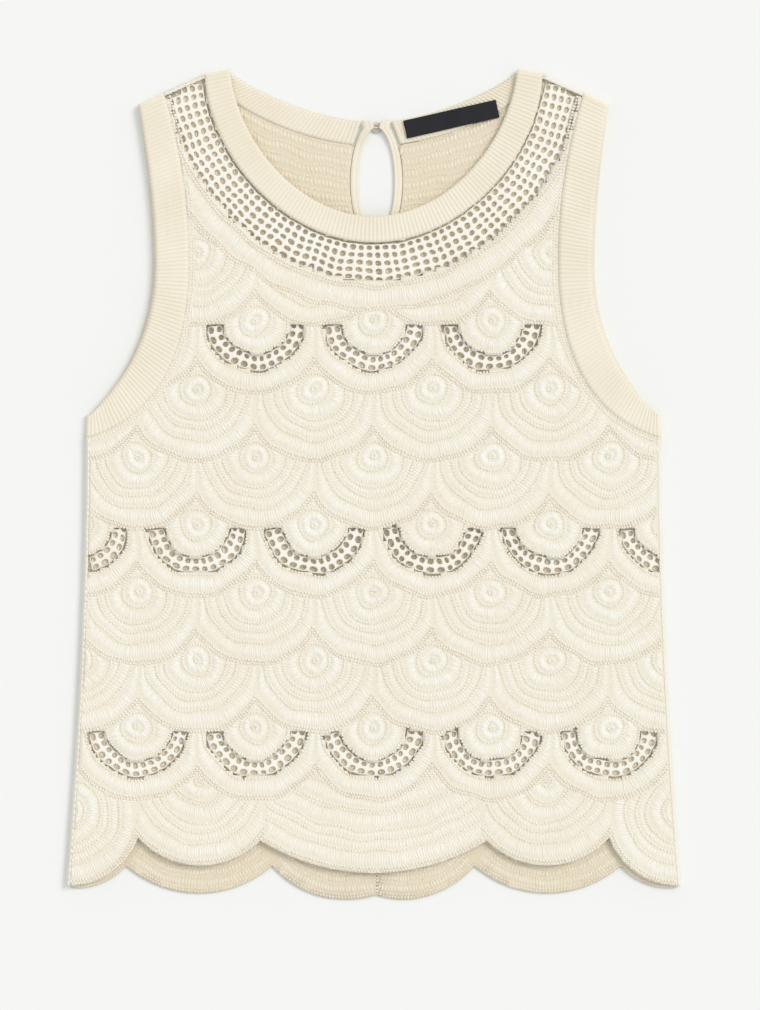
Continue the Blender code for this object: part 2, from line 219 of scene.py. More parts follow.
# Painted shade: the back is the same yarn in darker, warmer tones, for the shade it lies in under the front.
SHADED_BACK_YARN = YarnFinish("undyed cotton crochet back", "#faf3e4", "#f5ecda", "#e6d9bf")
RIB_YARN = YarnFinish("undyed cotton rib", "#f8f1e0", "#f4ebd8", "#e6dabf", crease_share=0.35)


@dataclass(frozen=True)
class DamaskFinish:
    """Woven polyester damask ribbon: dark, smooth, with a faint lustre along its fine ribs."""

    name: str = "woven damask ribbon"
    dark: str = "#17171f"
    light: str = "#232228"
    roughness: float = 0.62
    thread_mm: float = 0.7

    def material(self) -> bpy.types.Material:
        """Builds the node material."""
        material = bpy.data.materials.new(self.name)
        material.use_nodes = True
        tree = material.node_tree
        shader = tree.nodes["Principled BSDF"]
        shader.inputs["Roughness"].default_value = self.roughness
        shader.inputs["Specular IOR Level"].default_value = 0.3
        place = add_node(tree, "ShaderNodeTexCoord").outputs["Object"]
        turned = add_node(
            tree,
            "ShaderNodeMapping",
            links={"Vector": place, "Rotation": (0.0, 0.0, -Label.turn)},
        )
        threads = add_node(
            tree,
            "ShaderNodeTexWave",
            {"bands_direction": "Y"},
            {"Vector": turned.outputs[0], "Scale": 0.314 / (self.thread_mm * MM), "Distortion": 0.4},
        )
        wear = add_node(
            tree, "ShaderNodeTexNoise", links={"Vector": place, "Scale": 60.0, "Detail": 3.0}
        )
        colour = add_node(
            tree,
            "ShaderNodeMix",
            {"data_type": "RGBA"},
            {"Factor": wear.outputs["Fac"], 6: linear(self.dark), 7: linear(self.light)},
        )
        tree.links.new(colour.outputs[2], shader.inputs["Base Color"])
        bump = add_node(
            tree,
            "ShaderNodeBump",
            links={"Height": threads.outputs["Fac"], "Strength": 0.3, "Distance": 0.1 * MM},
        )
        tree.links.new(bump.outputs["Normal"], shader.inputs["Normal"])
        return material


@dataclass(frozen=True)
class ShellFinish:
    """Polished river shell: grey cream with clouded bands and a clear gloss."""

    name: str = "polished shell"
    light: str = "#d9d7cd"
    dark: str = "#a9a598"

    def material(self) -> bpy.types.Material:
        """Builds the node material."""
        material = bpy.data.materials.new(self.name)
        material.use_nodes = True
        tree = material.node_tree
        shader = tree.nodes["Principled BSDF"]
        shader.inputs["Roughness"].default_value = 0.22
        shader.inputs["Coat Weight"].default_value = 0.4
        place = add_node(tree, "ShaderNodeTexCoord").outputs["Object"]
        clouds = add_node(
            tree,
            "ShaderNodeTexNoise",
            links={"Vector": place, "Scale": 500.0, "Detail": 4.0, "Distortion": 1.5},
        )
        colour = add_node(
            tree,
            "ShaderNodeMix",
            {"data_type": "RGBA"},
            {"Factor": clouds.outputs["Fac"], 6: linear(self.light), 7: linear(self.dark)},
        )
        tree.links.new(colour.outputs[2], shader.inputs["Base Color"])
        return material


# ---------------------------------------------------------------- curves and regions


def cubic(controls: tuple, steps: int) -> Points:
    """Points along a cubic curve.

    Args:
        controls: its four control points.
        steps: how many stretches it is cut into.

    Returns:
        The points, both ends included.
    """
    a, b, c, d = (np.array(p, float) for p in controls)
    t = np.linspace(0.0, 1.0, steps + 1)[:, None]
    return a * (1 - t) ** 3 + 3 * b * t * (1 - t) ** 2 + 3 * c * t**2 * (1 - t) + d * t**3


def joined(*runs: Points) -> Points:
    """Runs of points end to end, each shared end once."""
    return np.vstack([runs[0]] + [run[1:] for run in runs[1:]])


def spaced(run: Points, step: float) -> Points:
    """A run again, with its points about step apart."""
    along = np.concatenate([[0.0], np.cumsum(np.linalg.norm(np.diff(run, axis=0), axis=1))])
    count = max(2, round(along[-1] / step) + 1)
    at = np.linspace(0.0, along[-1], count)
    return np.stack([np.interp(at, along, run[:, k]) for k in range(run.shape[1])], axis=1)


def headings(run: Points) -> Points:
    """Unit directions along a run."""
    along = np.gradient(run, axis=0)
    return along / np.linalg.norm(along, axis=1)[:, None]


def beside(run: Points, distance: float) -> Points:
    """A run moved sideways, to the left of its direction where distance is positive."""
    along = headings(run)
    return run + distance * np.stack([-along[:, 1], along[:, 0]], axis=1)


def arc(start: tuple, end: tuple, sag: float, steps: int) -> Points:
    """A circular arc that hangs by sag below the chord from start to end."""
    start_at, end_at = np.array(start), np.array(end)
    chord = end_at - start_at
    half = np.linalg.norm(chord) / 2
    radius = (half**2 + sag**2) / (2 * sag)
    along = chord / (2 * half)
    down = np.array([-along[1], along[0]])
    centre = (start_at + end_at) / 2 - down * (radius - sag)
    spread = math.asin(half / radius)
    turns = np.linspace(-spread, spread, steps + 1)[:, None]
    return centre + radius * (np.sin(turns) * along + np.cos(turns) * down)


def mirrored(run: Points, side: Side) -> Points:
    """A run of the right half, or its mirror image for the left."""
    return run * (side.value, 1.0)


def smooth(share: Points) -> Points:
    """0 to 1 with a soft start and end."""
    share = np.clip(share, 0.0, 1.0)
    return share * share * (3 - 2 * share)


@dataclass
class Region:
    """An area of cloth with one closed outline."""

    outline: Points

    def contains(self, points: Points) -> Points:
        """Which points lie inside the outline."""
        x, y = points[:, 0], points[:, 1]
        inside = np.zeros(len(points), bool)
        ends = np.roll(self.outline, -1, axis=0)
        for (ax, ay), (bx, by) in zip(self.outline, ends):
            crosses = (ay > y) != (by > y)
            if crosses.any():
                reach = (bx - ax) * (y - ay) / (by - ay if by != ay else 1e-12) + ax
                inside ^= crosses & (x < reach)
        return inside

    def inside(self, margin: float) -> Test:
        """The test for points that are more than margin inside the outline."""
        return lambda points: self.depth(points) > margin

    def depth(self, points: Points) -> Points:
        """How far each point is inside the outline, and negative outside."""
        away = line_distance(points, np.vstack([self.outline, self.outline[:1]]))
        return np.where(self.contains(points), away, -away)


def band_size(rows: list[Points]) -> tuple[float, float]:
    """Width and length of a band laid flat, from its pairs of ends: the means along both of its rails."""
    pairs = np.array(rows)
    width = np.linalg.norm(pairs[:, 0] - pairs[:, 1], axis=1).mean()
    length = np.linalg.norm(np.diff(pairs, axis=0), axis=2).sum(axis=0).mean()
    return float(width), float(length)


def line_distance(points: Points, line: Points) -> Points:
    """How far each point is from a run of points."""
    best = np.full(len(points), np.inf)
    for a, b in zip(line[:-1], line[1:]):
        d = b - a
        share = np.clip(((points - a) @ d) / max(d @ d, 1e-15), 0, 1)
        gap = points - a - share[:, None] * d
        best = np.minimum(best, np.hypot(gap[:, 0], gap[:, 1]))
    return best


@dataclass
class Cut:
    """The cut of the top: its edges and the height at which each layer of cloth lies."""

    back_mid: float = 1.2 * MM
    front_mid: float = 4.8 * MM
    lowest_front: float = 4.2 * MM
    turn: float = 1.8 * MM
    reach: float = 2.6 * MM
    neck_edge: tuple = ((0.0980, 0.2819), (0.0920, 0.2320), (0.0500, 0.1820), (0.0, 0.1820))
    neck_seam: tuple = ((0.1155, 0.2785), (0.1115, 0.2220), (0.0600, 0.1642), (0.0, 0.1642))
    back_neck_edge: tuple = ((0.0980, 0.2819), (0.0800, 0.2660), (0.0350, 0.2465), (0.0, 0.2460))
    back_neck_seam: tuple = ((0.1155, 0.2785), (0.0900, 0.2500), (0.0400, 0.2305), (0.0, 0.2300))
    arm_edge: tuple = (
        ((0.1600, 0.2580), (0.1545, 0.2250), (0.1485, 0.1900), (0.1486, 0.1500)),
        ((0.1486, 0.1500), (0.1487, 0.1080), (0.1660, 0.0750), (0.1948, 0.0473)),
    )
    arm_seam: tuple = (
        ((0.1427, 0.2663), (0.1330, 0.2320), (0.1257, 0.2000), (0.1257, 0.1520)),
        ((0.1257, 0.1520), (0.1257, 0.1000), (0.1400, 0.0480), (0.1955, 0.0320)),
    )
    side: tuple = ((0.1955, 0.0320), (0.1955, -0.0600), (0.2005, -0.1700), (0.2091, -0.2724))
    front_hem: tuple = (
        ((0.2065, -0.2724), (0.1598, -0.2397), 0.0088),
        ((0.1598, -0.2397), (0.0768, -0.2417), 0.0177),
        ((0.0768, -0.2417), (-0.0768, -0.2417), 0.0218),
    )
    back_hem: tuple = (
        ((0.2065, -0.2740), (0.1680, -0.2594), 0.0050),
        ((0.1680, -0.2594), (0.0687, -0.2594), 0.0184),
        ((0.0687, -0.2594), (0.0, -0.2790), 0.0107),
    )
    swells: tuple = (
        (0.000, 0.180, 0.075, 0.030, 0.0016),
        (-0.092, 0.100, 0.060, 0.065, 0.0016),
        (0.088, 0.108, 0.058, 0.060, 0.0013),
        (0.015, -0.070, 0.110, 0.080, 0.0016),
        (-0.118, -0.252, 0.042, 0.028, 0.0024),
        (0.121, -0.250, 0.040, 0.030, 0.0021),
        (-0.010, -0.258, 0.062, 0.028, 0.0023),
    )
    fade: float = 0.030
    shoulder_out: tuple = (0.3499, 0.9368)
    centre_back: float = 0.0020
    keyhole_y: float = 0.2057
    keyhole_half: tuple = (0.0122, 0.0367)
    trim: float = 0.0055

    def side_run(self, inset: float = 0.0) -> Points:
        """The right side edge from underarm to hem, moved in by inset."""
        return cubic(self.side, 40) - (inset, 0.0)

    def side_x(self, y: Points) -> Points:
        """How far out the side edge is at each height on the garment."""
        run = self.side_run()
        return np.interp(-y, -run[:, 1], run[:, 0])

    def front_z(self, x: Points, y: Points) -> Points:
        """Height of the middle of the front's cloth."""
        x, y = np.asarray(x, float), np.asarray(y, float)
        lift = np.zeros(np.broadcast(x, y).shape)
        for at_x, at_y, reach_x, reach_y, high in self.swells:
            lift = lift + high * np.exp(-(((x - at_x) / reach_x) ** 2) - ((y - at_y) / reach_y) ** 2)
        to_side = self.side_x(y) - np.abs(x)
        out_x, out_y = self.shoulder_out
        tip_x, tip_y = self.arm_edge[0][0]
        to_shoulder = (tip_x - np.abs(x)) * out_x + (tip_y - y) * out_y
        lift = lift * smooth(to_side / self.fade) * smooth(to_shoulder / self.fade)
        return np.maximum(self.lowest_front, self.front_mid + lift)

    def back_z(self, x: Points, y: Points) -> Points:
        """Height of the middle of the back's cloth, raised over the button at the centre."""
        x, y = np.asarray(x, float), np.asarray(y, float)
        away = np.hypot(x - self.centre_back, y - 0.2425) / 0.020
        lift = np.where(x > self.centre_back, 0.0018, 0.0029)
        return self.back_mid + lift * np.maximum(0.0, 1 - away**2) ** 2

    def flat_back_z(self, x: Points, y: Points) -> Points:
        """Height of the middle of the back's cloth away from the button."""
        return np.full(np.shape(x), self.back_mid)

    def arm_seam_run(self) -> Points:
        """The right armhole seam from shoulder to underarm."""
        return joined(*[cubic(part, 24) for part in self.arm_seam])

    def arm_edge_run(self) -> Points:
        """The right armhole's free edge from shoulder to underarm."""
        return joined(*[cubic(part, 24) for part in self.arm_edge])

    def keyhole_run(self, side: Side, grow: float) -> Points:
        """One side of the keyhole's oval from its top down, grown outward."""
        angles = np.linspace(0.13 + 30 * grow, math.pi, 26)
        half_x, half_y = self.keyhole_half[0] + grow, self.keyhole_half[1] + grow
        oval = np.stack([half_x * np.sin(angles), self.keyhole_y + half_y * np.cos(angles)], axis=1)
        return oval * (side.value, 1.0) + (self.centre_back, 0.0)

    def front(self) -> Region:
        """The front panel's outline."""
        hem = joined(*[arc(*row, 22) for row in self.front_hem])
        half = joined(
            cubic(self.neck_seam, 40)[::-1],
            self.arm_seam_run(),
            self.side_run(self.reach),
            hem[hem[:, 0] >= 0],
        )
        return Region(np.vstack([half, mirrored(half[::-1], Side.LEFT)[1:-1]]))

    def back(self, side: Side) -> Region:
        """The outline of one half of the back."""
        rail = self.keyhole_run(Side.RIGHT, self.trim + 0.3 * MM) - (self.centre_back, 0.0)
        rail = rail[rail[:, 1] < 0.2298][::-1]
        neck = cubic(self.back_neck_seam, 40)[::-1]
        neck = neck[neck[:, 0] > rail[-1, 0] + 0.001]
        hem = joined(*[arc(*row, 22) for row in self.back_hem])
        half = joined(rail, np.vstack([rail[-1:], neck]), self.arm_seam_run(), self.side_run(self.reach), hem)
        half[-1, 0] = half[0, 0] = 0.2 * MM
        centred = np.abs(half[:, 0]) < 0.03
        half = mirrored(half, side)
        half[centred, 0] += self.centre_back
        return Region(half)


# ---------------------------------------------------------------- stitches


@dataclass
class Stitch:
    """One small spindle of yarn, whose template lies along X, one unit to each end."""

    rings: int
    fullness: float = 0.55

    def template(self) -> tuple[Points, list[tuple[int, ...]]]:
        """The spindle's points and faces."""
        builder = bmesh.new()
        bmesh.ops.create_uvsphere(builder, u_segments=4, v_segments=self.rings + 1, radius=1.0)
        bmesh.ops.rotate(builder, verts=builder.verts, matrix=Matrix.Rotation(math.pi / 2, 3, "Y"))
        bmesh.ops.recalc_face_normals(builder, faces=builder.faces)
        builder.verts.index_update()
        points = np.array([v.co for v in builder.verts])
        faces = [tuple(v.index for v in f.verts) for f in builder.faces]
        builder.free()
        girth = np.hypot(points[:, 1], points[:, 2])
        swell = np.where(girth > 1e-6, girth ** (self.fullness - 1.0), 1.0)
        points[:, 1:] *= np.where(girth > 1e-6, swell, 0.0)[:, None]
        return points, faces


BAR = Stitch(rings=3)
KNOT = Stitch(rings=2)


@dataclass
class Stitches:
    """Where stitches of one kind go: rows of x, y, z, heading, half length, half width and half height."""

    kind: Stitch
    rows: list[Points] = field(default_factory=list)

    def add(self, start: Points, end: Points, z: Points, width: float, height: float) -> None:
        """Adds stitches that run from start to end points.

        Args:
            start: x and y of their first ends.
            end: x and y of their last ends.
            z: height of their middles.
            width: half width.
            height: half height.
        """
        middle, way = (start + end) / 2, end - start
        count = len(middle)
        self.rows.append(
            np.column_stack(
                [
                    middle,
                    z,
                    np.arctan2(way[:, 1], way[:, 0]),
                    np.hypot(way[:, 0], way[:, 1]) / 2,
                    np.full(count, width),
                    np.full(count, height),
                ]
            )
        )

    def build(self, name: str, seed: int, slack: Shift, keep: Points | None = None) -> bpy.types.Object:
        """Makes all the stitches one mesh, each slightly uneven as by hand.

        Args:
            name: the piece's name.
            seed: seed of the unevenness.
            slack: function of points that gives how far each has shifted.
            keep: which rows to build.

        Returns:
            The new object.
        """
        rows = np.vstack(self.rows)
        if keep is not None:
            rows = rows[keep]
        draw = np.random.default_rng(seed)
        middle = rows[:, :2] + slack(rows[:, :2]) + draw.normal(0, 0.12 * MM, (len(rows), 2))
        points, faces = self.kind.template()
        count, size = len(rows), len(points)
        turn = rows[:, 3] + draw.normal(0, 0.10, count)
        scale = rows[:, 4:7] * draw.normal(1.0, 0.10, (count, 3)).clip(0.75, 1.3)
        local = points[None] * scale[:, None]
        cos, sin = np.cos(turn)[:, None], np.sin(turn)[:, None]
        x = middle[:, 0:1] + local[..., 0] * cos - local[..., 1] * sin
        y = middle[:, 1:2] + local[..., 0] * sin + local[..., 1] * cos
        z = rows[:, 2:3] + local[..., 2] + draw.normal(0, 0.05 * MM, count)[:, None]
        everything = np.stack([x, y, z], axis=-1).reshape(-1, 3)
        lengths = np.array([len(f) for f in faces])
        corners = np.concatenate([np.array(f) for f in faces])
        mesh = bpy.data.meshes.new(name)
        mesh.vertices.add(len(everything))
        mesh.vertices.foreach_set("co", everything.ravel())
        loops = (corners[None] + size * np.arange(count)[:, None]).ravel()
        mesh.loops.add(len(loops))
        mesh.loops.foreach_set("vertex_index", loops)
        starts = np.concatenate([[0], np.cumsum(lengths)[:-1]])
        mesh.polygons.add(len(faces) * count)
        first = (starts[None] + lengths.sum() * np.arange(count)[:, None]).ravel()
        mesh.polygons.foreach_set("loop_start", first)
        mesh.update(calc_edges=True)
        mesh.validate()
        mesh.shade_smooth()
        # Painted shade: each stitch is lighter along its crest and takes more of the darker crease colour
        # towards its sides and ends.
        rise = mesh.attributes.new("rise", "FLOAT", "POINT")
        lift = np.abs(points[:, 2]) * 0.75 + 0.25 * (1 - np.abs(points[:, 0]))
        rise.data.foreach_set("value", np.tile(lift, count).astype(np.float32))
        return linked(name, mesh)


def from_builder(name: str, builder: bmesh.types.BMesh) -> bpy.types.Object:
    """A smooth new object of what a builder holds, which it then frees."""
    mesh = bpy.data.meshes.new(name)
    builder.to_mesh(mesh)
    builder.free()
    mesh.shade_smooth()
    return linked(name, mesh)


def walled(obj: bpy.types.Object, thickness: float) -> bpy.types.Object:
    """Gives a sheet its thickness, half to each side."""
    wall = obj.modifiers.new("wall", "SOLIDIFY")
    wall.thickness = thickness
    wall.offset = 0.0
    return obj


def linked(name: str, mesh: bpy.types.Mesh) -> bpy.types.Object:
    """A new object of a mesh, in the scene."""
    obj = bpy.data.objects.new(name, mesh)
    bpy.context.scene.collection.objects.link(obj)
    return obj


def level_rise(mesh: bpy.types.Mesh, value: float) -> None:
    """Gives a whole mesh one rise, which sets how much of the crease colour, a painted shade, it shows."""
    rise = mesh.attributes.get("rise") or mesh.attributes.new("rise", "FLOAT", "POINT")
    rise.data.foreach_set("value", np.full(len(mesh.vertices), value, np.float32))


def finish_piece(obj: bpy.types.Object, material: bpy.types.Material) -> bpy.types.Object:
    """Dresses a piece, lets it ride on the top's one body and logs it."""
    obj.data.materials.clear()
    obj.data.materials.append(material)
    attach(obj, "root")
    LOG.info("%s: %d faces", obj.name, len(obj.data.polygons))
    return obj


def ground_sheet(
    name: str, region: Region, cell: float, height: Height, openings: list[Region], thickness: float
) -> bpy.types.Object:
    """The thin cloth under the stitches, with real openings where the lace is net.

    Args:
        name: the piece's name.
        region: its outline.
        cell: size of its cells.
        height: function of x and y that gives its height.
        openings: areas that are left open.
        thickness: the sheet's thickness.

    Returns:
        The new object.
    """
    builder = bmesh.new()
    builder.faces.new([builder.verts.new((x, y, 0.0)) for x, y in region.outline])
    low, high = region.outline.min(axis=0), region.outline.max(axis=0)
    for axis in (0, 1):
        normal = Vector((1 - axis, axis, 0))
        for at in np.arange(low[axis] + cell, high[axis], cell):
            everything = builder.verts[:] + builder.edges[:] + builder.faces[:]
            bmesh.ops.bisect_plane(builder, geom=everything, dist=1e-6, plane_co=normal * at, plane_no=normal)
    centres = np.array([f.calc_center_median()[:2] for f in builder.faces])
    open_here = np.zeros(len(centres), bool)
    for opening in openings:
        open_here |= opening.depth(centres) > 0.4 * cell
    faces = [f for f, is_open in zip(builder.faces[:], open_here) if is_open]
    bmesh.ops.delete(builder, geom=faces, context="FACES")
    flat = np.array([v.co[:2] for v in builder.verts])
    for vert, z in zip(builder.verts, height(flat[:, 0], flat[:, 1])):
        vert.co.z = z
    bmesh.ops.recalc_face_normals(builder, faces=builder.faces)
    obj = walled(from_builder(name, builder), thickness)
    # Painted shade: the ground lies down between the stitches and takes most of the darker crease colour.
    level_rise(obj.data, 0.12)
    return obj


def drawn_in(run: Points, out_first: tuple, out_last: tuple | None, reach: float) -> Points:
    """A run whose ends are moved in from a turned edge, and the rest of it in proportion."""
    share = np.linspace(1.0, 0.0, len(run))[:, None] ** 3
    moved = run - share * np.array(out_first) * reach
    if out_last is not None:
        moved = moved - share[::-1] * np.array(out_last) * reach
    return moved


def fit_span(start: Points, end: Points, allowed: Test, least: float = 0.3) -> tuple[Points, Points]:
    """Shortens stitches to the part of them that lies where it may, and drops those too short.

    Args:
        start: first ends.
        end: last ends.
        allowed: function of points that says which may hold stitches.
        least: least share of its length that a stitch keeps.

    Returns:
        The kept stitches' first and last ends.
    """
    steps = np.linspace(0.0, 1.0, 9)
    spots = start[:, None] + steps[None, :, None] * (end - start)[:, None]
    fine = allowed(spots.reshape(-1, 2)).reshape(len(start), len(steps))
    first = np.argmax(fine, axis=1)
    last = len(steps) - 1 - np.argmax(fine[:, ::-1], axis=1)
    kept = fine.any(axis=1) & (steps[last] - steps[first] >= least)
    a = start + steps[first][:, None] * (end - start)
    b = start + steps[last][:, None] * (end - start)
    return a[kept], b[kept]


def drift(points: Points, amount: float = 1.1 * MM) -> Points:
    """How far slack in the hand's tension has shifted the lace at each point."""
    x, y = points[:, 0] * math.tau, points[:, 1] * math.tau
    across = np.sin(x / 0.043 + y / 0.067) + 0.7 * np.sin(y / 0.027 - x / 0.091)
    down = np.sin(y / 0.051 - x / 0.037 + 1.0) + 0.7 * np.sin(x / 0.024 + y / 0.083)
    return np.stack([across, down], axis=1) * amount / 1.7


@dataclass
class Net:
    """Openwork: strands round real holes, in patches of cells."""

    strand: float = 0.72 * MM
    thickness: float = 1.2 * MM
    builder: bmesh.types.BMesh = field(default_factory=bmesh.new)

    def patch(self, spots: Points) -> None:
        """Adds a patch of cells with its corners at spots, an array of rows by columns by 2."""
        rows, columns = spots.shape[:2]
        made = bmesh.ops.create_grid(self.builder, x_segments=rows - 1, y_segments=columns - 1, size=1.0)
        for vert in made["verts"]:
            i = round((vert.co.x + 1) / 2 * (rows - 1))
            j = round((vert.co.y + 1) / 2 * (columns - 1))
            vert.co = (*spots[i, j], 0.0)

    def build(
        self, name: str, height: Height, allowed: Test, slack: Shift, seed: int
    ) -> bpy.types.Object:
        """Opens the cells and gives the strands their thickness.

        Args:
            name: the piece's name.
            height: function of x and y that gives the net's height.
            allowed: function of points that says where cells may be.
            slack: function of points that gives how far each has shifted.
            seed: seed of the holes' unevenness.

        Returns:
            The new object.
        """
        builder = self.builder
        bmesh.ops.remove_doubles(builder, verts=builder.verts, dist=1e-5)
        centres = np.array([f.calc_center_median()[:2] for f in builder.faces])
        outside = [f for f, fine in zip(builder.faces[:], allowed(centres)) if not fine]
        bmesh.ops.delete(builder, geom=outside, context="FACES")
        draw = np.random.default_rng(seed)
        spots = np.array([v.co[:2] for v in builder.verts])
        for vert, shift in zip(builder.verts, slack(spots) + draw.normal(0, 0.3 * MM, spots.shape)):
            vert.co.x += shift[0]
            vert.co.y += shift[1]
        bmesh.ops.recalc_face_normals(builder, faces=builder.faces)
        cells = builder.faces[:]
        bmesh.ops.inset_individual(builder, faces=cells, thickness=self.strand, use_even_offset=True)
        bmesh.ops.delete(builder, geom=cells, context="FACES_ONLY")
        loose = [v for v in builder.verts if not v.link_faces]
        bmesh.ops.delete(builder, geom=loose, context="VERTS")
        flat = np.array([v.co[:2] for v in builder.verts])
        for vert, z in zip(builder.verts, height(flat[:, 0], flat[:, 1])):
            vert.co.z = z
        obj = walled(from_builder(name, builder), self.thickness)
        # Painted shade: the net's strands take part of the darker crease colour.
        level_rise(obj.data, 0.55)
        rounding = obj.modifiers.new("round strands", "SUBSURF")
        rounding.levels = rounding.render_levels = 1
        return obj


# ---------------------------------------------------------------- the front's lace


@dataclass(frozen=True)
class Fan:
    """A round fan of stitches that hangs below its centre, as a fish's scale does."""

    x: float
    bottom: float
    radius: float
    reach: float
    row: int
    core: FanCore

    @property
    def centre(self) -> Points:
        """The middle of its rings."""
        return np.array([self.x, self.bottom + self.radius])


@dataclass
class FanLace:
    """The front: a net yoke and its tape round the neck, over staggered rows of fans down to the hem."""

    cut: Cut
    pitch: float = 80.0 * MM
    rise: float = 46.0 * MM
    radius: float = 50.0 * MM
    rows_up: int = 9
    first_bottom: float = -215.0 * MM
    knot_width: float = 0.952 * MM
    knot_height: float = 1.15 * MM
    bar_width: float = 0.98 * MM
    bar_height: float = 1.05 * MM
    slant: float = 0.55
    edge_knots: tuple = (1.1 * MM, 3.1 * MM)
    wide_bars: tuple = (4.2 * MM, 13.6 * MM)
    wide_knots: float = 14.8 * MM
    open_round: tuple = (16.2 * MM, 27.0 * MM)
    short_bars: tuple = ((15.9 * MM, 21.4 * MM), (23.6 * MM, 27.4 * MM))
    short_step: float = 2.3 * MM
    short_knots: float = 22.6 * MM
    inner_knots: float = 28.6 * MM
    inner_start: float = 30.0 * MM
    edge_gap: float = 0.5 * MM
    net_cell: float = 6.2 * MM
    knot_step: float = 2.15 * MM
    bar_step: float = 1.85 * MM
    yoke_net: tuple = (1.2 * MM, 27.0 * MM, 5)
    yoke_tape: tuple = (32.0 * MM, 42.6 * MM)
    yoke_end: float = 46.6 * MM
    sink: float = 1.7 * MM

    def __post_init__(self) -> None:
        """Works out the panel's region and its fans."""
        self.region = self.cut.front()
        neck = cubic(self.cut.neck_seam, 40)
        self.neck_line = joined(neck, mirrored(neck[::-1], Side.LEFT))
        self.fans = self.lay_fans()
        self.bars = Stitches(BAR)
        self.knots = Stitches(KNOT)

    def slack(self, points: Points) -> Points:
        """How far the lace has shifted, less and less towards its edges."""
        return drift(points) * (self.region.depth(points) / (14 * MM)).clip(0, 1)[:, None]

    def net_height(self, x: Points, y: Points) -> Points:
        """Height of the nets, which sink through their thinner lace onto the back."""
        return self.cut.front_z(x, y) - self.sink

    def lay_fans(self) -> list[Fan]:
        """The hem's own fans, then staggered rows of even ones up to the yoke."""
        fans = []
        for (start, end, sag) in self.cut.front_hem:
            half = math.dist(start, end) / 2
            radius = (half**2 + sag**2) / (2 * sag)
            way = (np.array(end) - start) / (2 * half)
            up = np.array([-way[1], way[0]]) * (1 if way[0] > 0 else -1)
            centre = (np.array(start) + end) / 2 + up * (radius - sag)
            reach = max(abs(start[0] - centre[0]), abs(end[0] - centre[0])) + 2 * MM
            for side in Side if centre[0] > 0.001 else (Side.RIGHT,):
                x = centre[0] * side.value
                fans.append(Fan(x, centre[1] - radius, radius, reach, 0, FanCore.DENSE))
        for row in range(1, self.rows_up + 1):
            shift = 0.0 if row % 2 else self.pitch / 2
            core = FanCore.OPEN if row % 3 == 1 else FanCore.DENSE
            for column in range(-3, 4):
                x = column * self.pitch + shift
                bottom = self.first_bottom + (row - 1) * self.rise
                fans.append(Fan(x, bottom, self.radius, self.radius, row, core))
        return fans

    def owner(self, points: Points) -> Points:
        """The number of the fan that shows at each point, or -1."""
        best = np.full(len(points), -1)
        score = np.full(len(points), -1e9)
        for number, fan in enumerate(self.fans):
            away = points - fan.centre
            inside = (np.hypot(away[:, 0], away[:, 1]) <= fan.radius + 0.1 * MM) & (
                np.abs(away[:, 0]) <= fan.reach
            )
            value = fan.row - np.abs(away[:, 0])
            better = inside & (value > score)
            best[better], score[better] = number, value[better]
        return best

    def body(self, points: Points) -> Points:
        """Whether points lie in the part of the panel that the fans fill."""
        inside = self.region.depth(points) > self.edge_gap
        clear = line_distance(points, self.neck_line) > self.yoke_end
        arm = np.vstack([self.cut.arm_seam_run(), mirrored(self.cut.arm_seam_run()[::-1], Side.LEFT)])
        half = len(arm) // 2
        for run in (arm[:half], arm[half:]):
            clear &= line_distance(points, run) > 5.2 * MM
        return inside & clear

    def shown(self, number: int) -> Test:
        """The test for points where a fan shows."""
        return lambda points: (self.owner(points) == number) & self.body(points)

    def ring(self, number: int, outer: float, inner: float, step: float) -> tuple[Points, Points]:
        """Spans of one ring of a fan, from outer to inner radius, where the fan shows."""
        fan = self.fans[number]
        count = max(6, round(math.tau * outer / step))
        angles = (np.arange(count) + 0.5) * math.tau / count
        way = np.stack([np.cos(angles), np.sin(angles)], axis=1)
        near = np.abs(way[:, 0] * outer) <= fan.reach + 3 * MM
        way = way[near & (way[:, 1] * outer < fan.radius)]
        return fit_span(fan.centre + way * outer, fan.centre + way * inner, self.shown(number))

    def slanted_knots(self, start: Points, end: Points, lift: float) -> None:
        """Knots that lean across their row, with their middles lift above the cloth's."""
        way = end - start
        across = np.stack([-way[:, 1], way[:, 0]], axis=1) * self.slant
        z = self.cut.front_z(*((start + end) / 2).T) + lift
        self.knots.add(start - across / 2, end + across / 2, z, self.knot_width, self.knot_height)

    def knot_ring(self, number: int, radius: float, lift: float = 0.35) -> None:
        """One round of slanted knots, which stands a little proud."""
        tilt = 0.9 * MM
        start, end = self.ring(number, radius + tilt, radius - tilt, self.knot_step)
        self.slanted_knots(start, end, lift * MM)

    def bar_ring(self, number: int, outer: float, inner: float, step: float | None = None) -> None:
        """One round of long bars side by side."""
        start, end = self.ring(number, outer, inner, step or self.bar_step)
        z = self.cut.front_z(*((start + end) / 2).T)
        self.bars.add(start, end, z, self.bar_width, self.bar_height)

